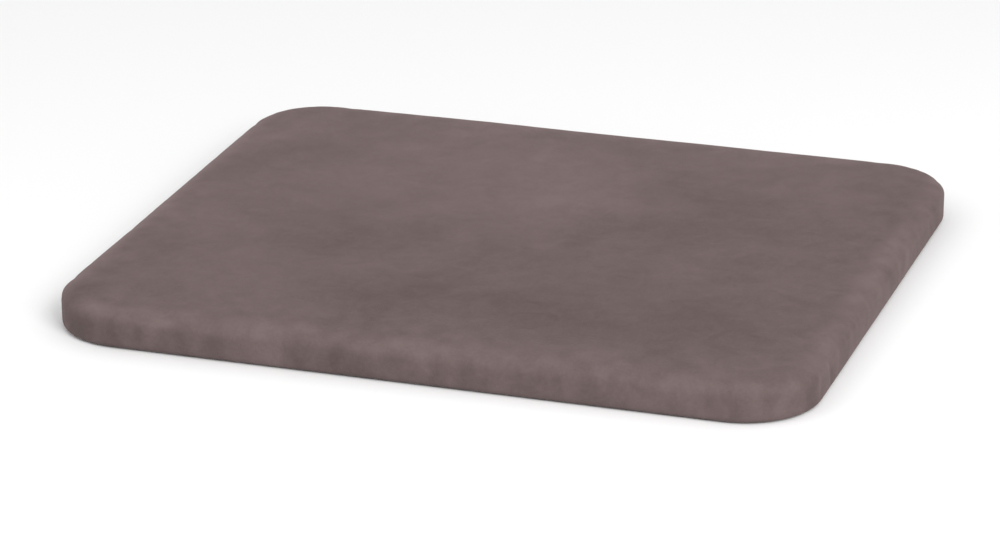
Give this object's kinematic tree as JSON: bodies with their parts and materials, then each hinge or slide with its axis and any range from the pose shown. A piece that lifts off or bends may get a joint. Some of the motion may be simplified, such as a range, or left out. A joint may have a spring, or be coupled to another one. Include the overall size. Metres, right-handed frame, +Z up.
{
  "type": "kneeling pad",
  "caption": "Flat rectangular kneeling pad with round corners, foam in a napped velour cover that zips shut along the back wall.",
  "frame": {"origin": "middle of the underside, on the face of the grip layer that rests on the ground", "axes": "+X along the length, +Y across the width towards the wall with the zip, +Z up through the thickness"},
  "size_m": [0.51, 0.4449, 0.0266],
  "materials": {
    "cover_velour": "matte",
    "base_fabric": "matte",
    "grip_dots": "matte",
    "firm_foam": "matte",
    "soft_foam": "matte",
    "thread": "satin",
    "zip_tape": "matte",
    "zip_coil": "satin",
    "zip_metal": "satin"
  },
  "bodies": {
    "pad": {"support_foam": "firm_foam", "comfort_foam": "soft_foam", "velour_cover": "cover_velour", "base_panel": "base_fabric", "grip_layer": "grip_dots", "hem_thread": "thread", "zip_tape_upper": "zip_tape", "zip_tape_lower": "zip_tape", "zip_coil_upper": "zip_coil", "zip_coil_lower": "zip_coil", "zip_top_stop": "zip_metal", "zip_bottom_stop": "zip_metal", "zip_thread": "thread"},
    "slider": {"zip_slider": "zip_metal"},
    "pull_tab": {"zip_pull_tab": "zip_metal"}
  },
  "joints": [
    {"name": "zip_run", "type": "slide", "parent": "pad", "child": "slider", "axis": [-1, 0, 0], "range_m": [0, 0.298], "deforming": ["zip_coil_upper", "zip_coil_lower"]},
    {"name": "tab_swing", "type": "hinge", "parent": "slider", "child": "pull_tab", "pos_m": [0.1492, 0.22305, 0.0117], "axis": [0, 0, -1], "range_deg": [0, 180]}
  ]
}
